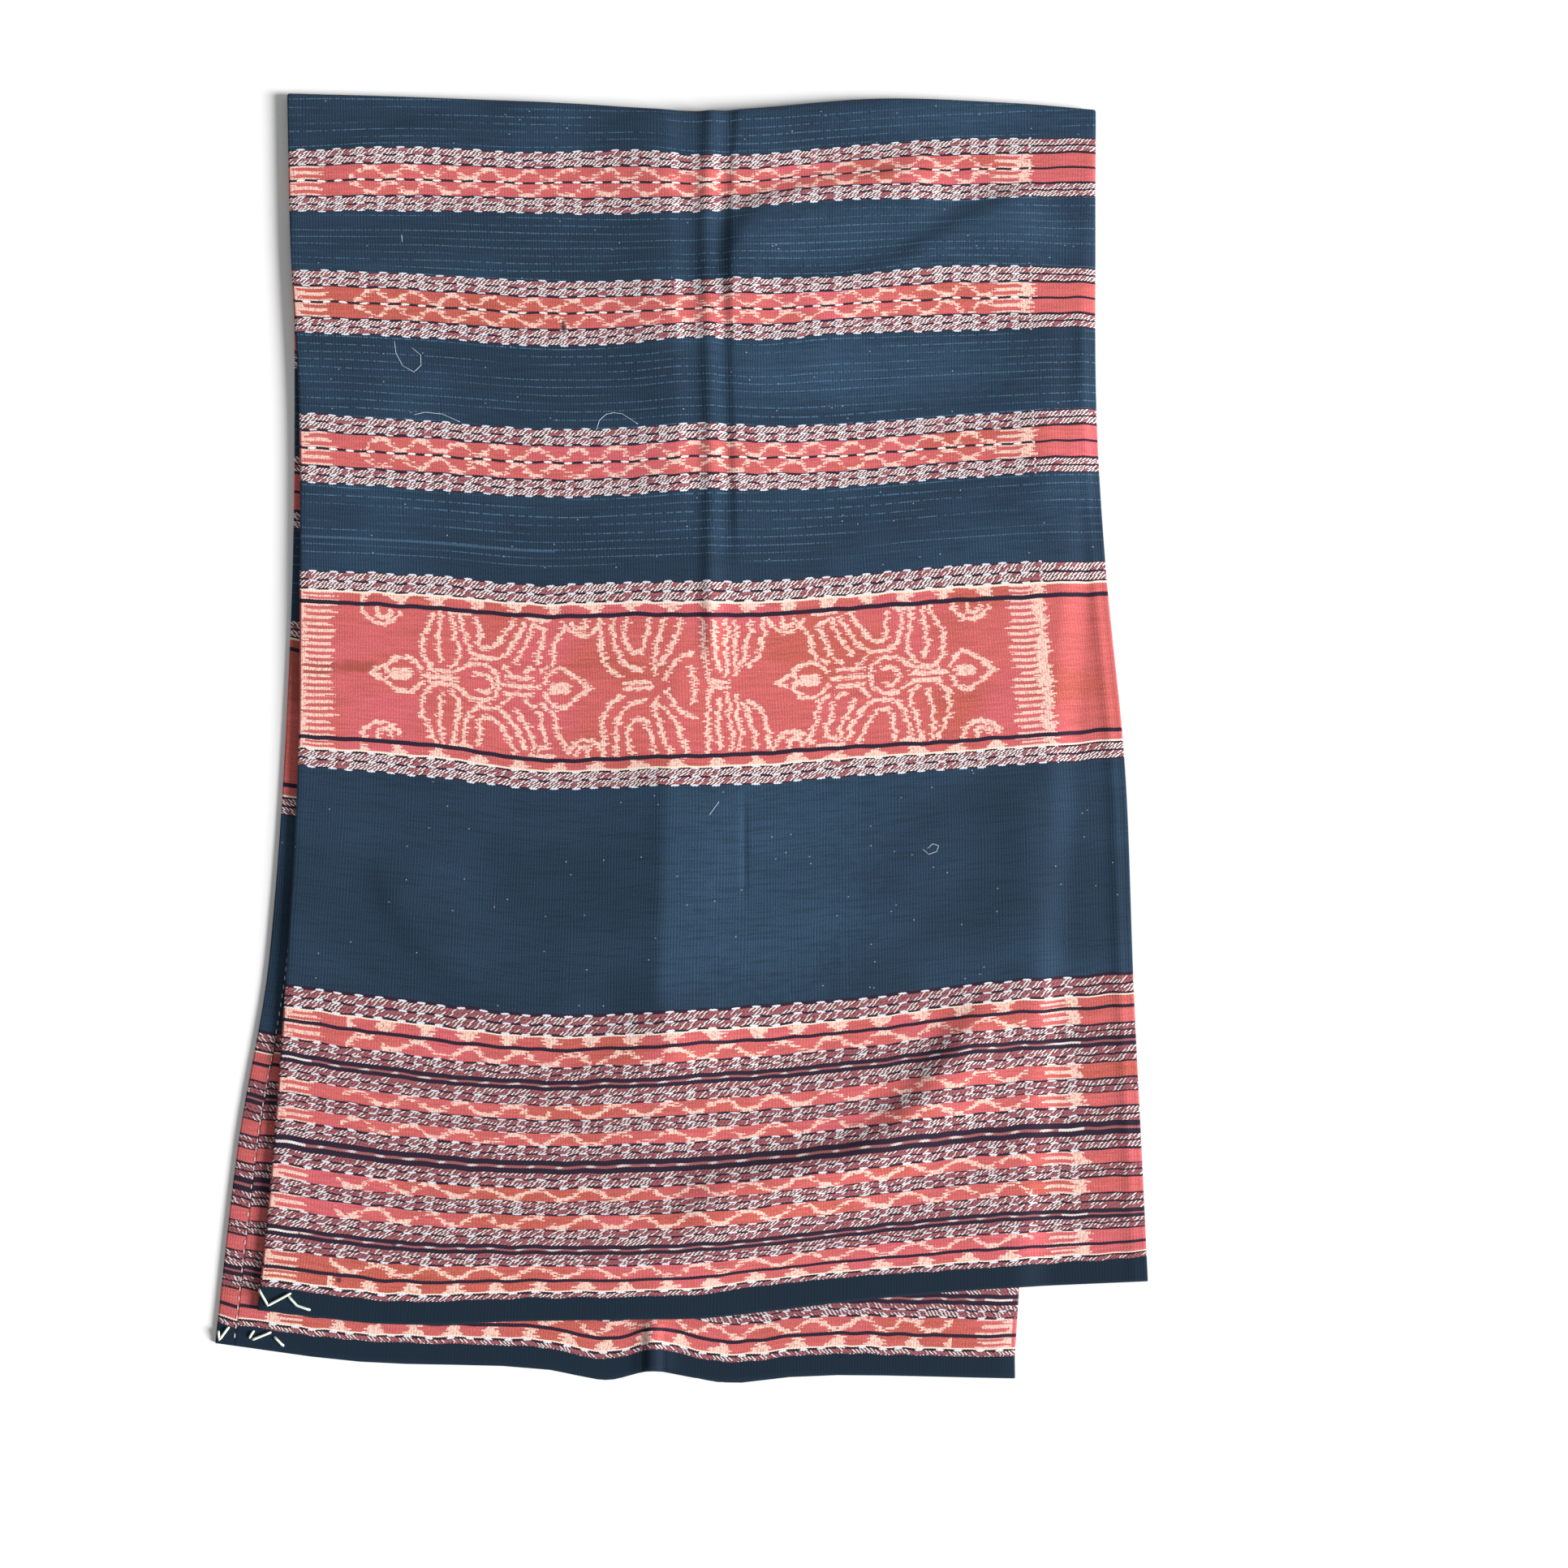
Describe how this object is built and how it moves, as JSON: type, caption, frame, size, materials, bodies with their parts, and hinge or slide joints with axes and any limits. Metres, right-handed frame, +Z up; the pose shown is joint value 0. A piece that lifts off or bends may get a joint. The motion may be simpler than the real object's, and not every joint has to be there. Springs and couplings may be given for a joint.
{
  "type": "tube sarong, pressed flat and folded double",
  "caption": "Hand-woven tube sarong in warp ikat, pressed flat and folded double over its top edge, lying on a level surface.",
  "frame": {"origin": "on the surface, under the middle of the whole outline", "axes": "+X across the tube along its stripes, +Y towards the folded top edge, +Z up from the surface"},
  "size_m": [0.6328, 0.931, 0.014],
  "materials": {
    "ikat_cotton": "matt hand-woven cotton with fine ribs"
  },
  "bodies": {
    "root": {"sarong_tube": "ikat_cotton"}
  },
  "joints": []
}
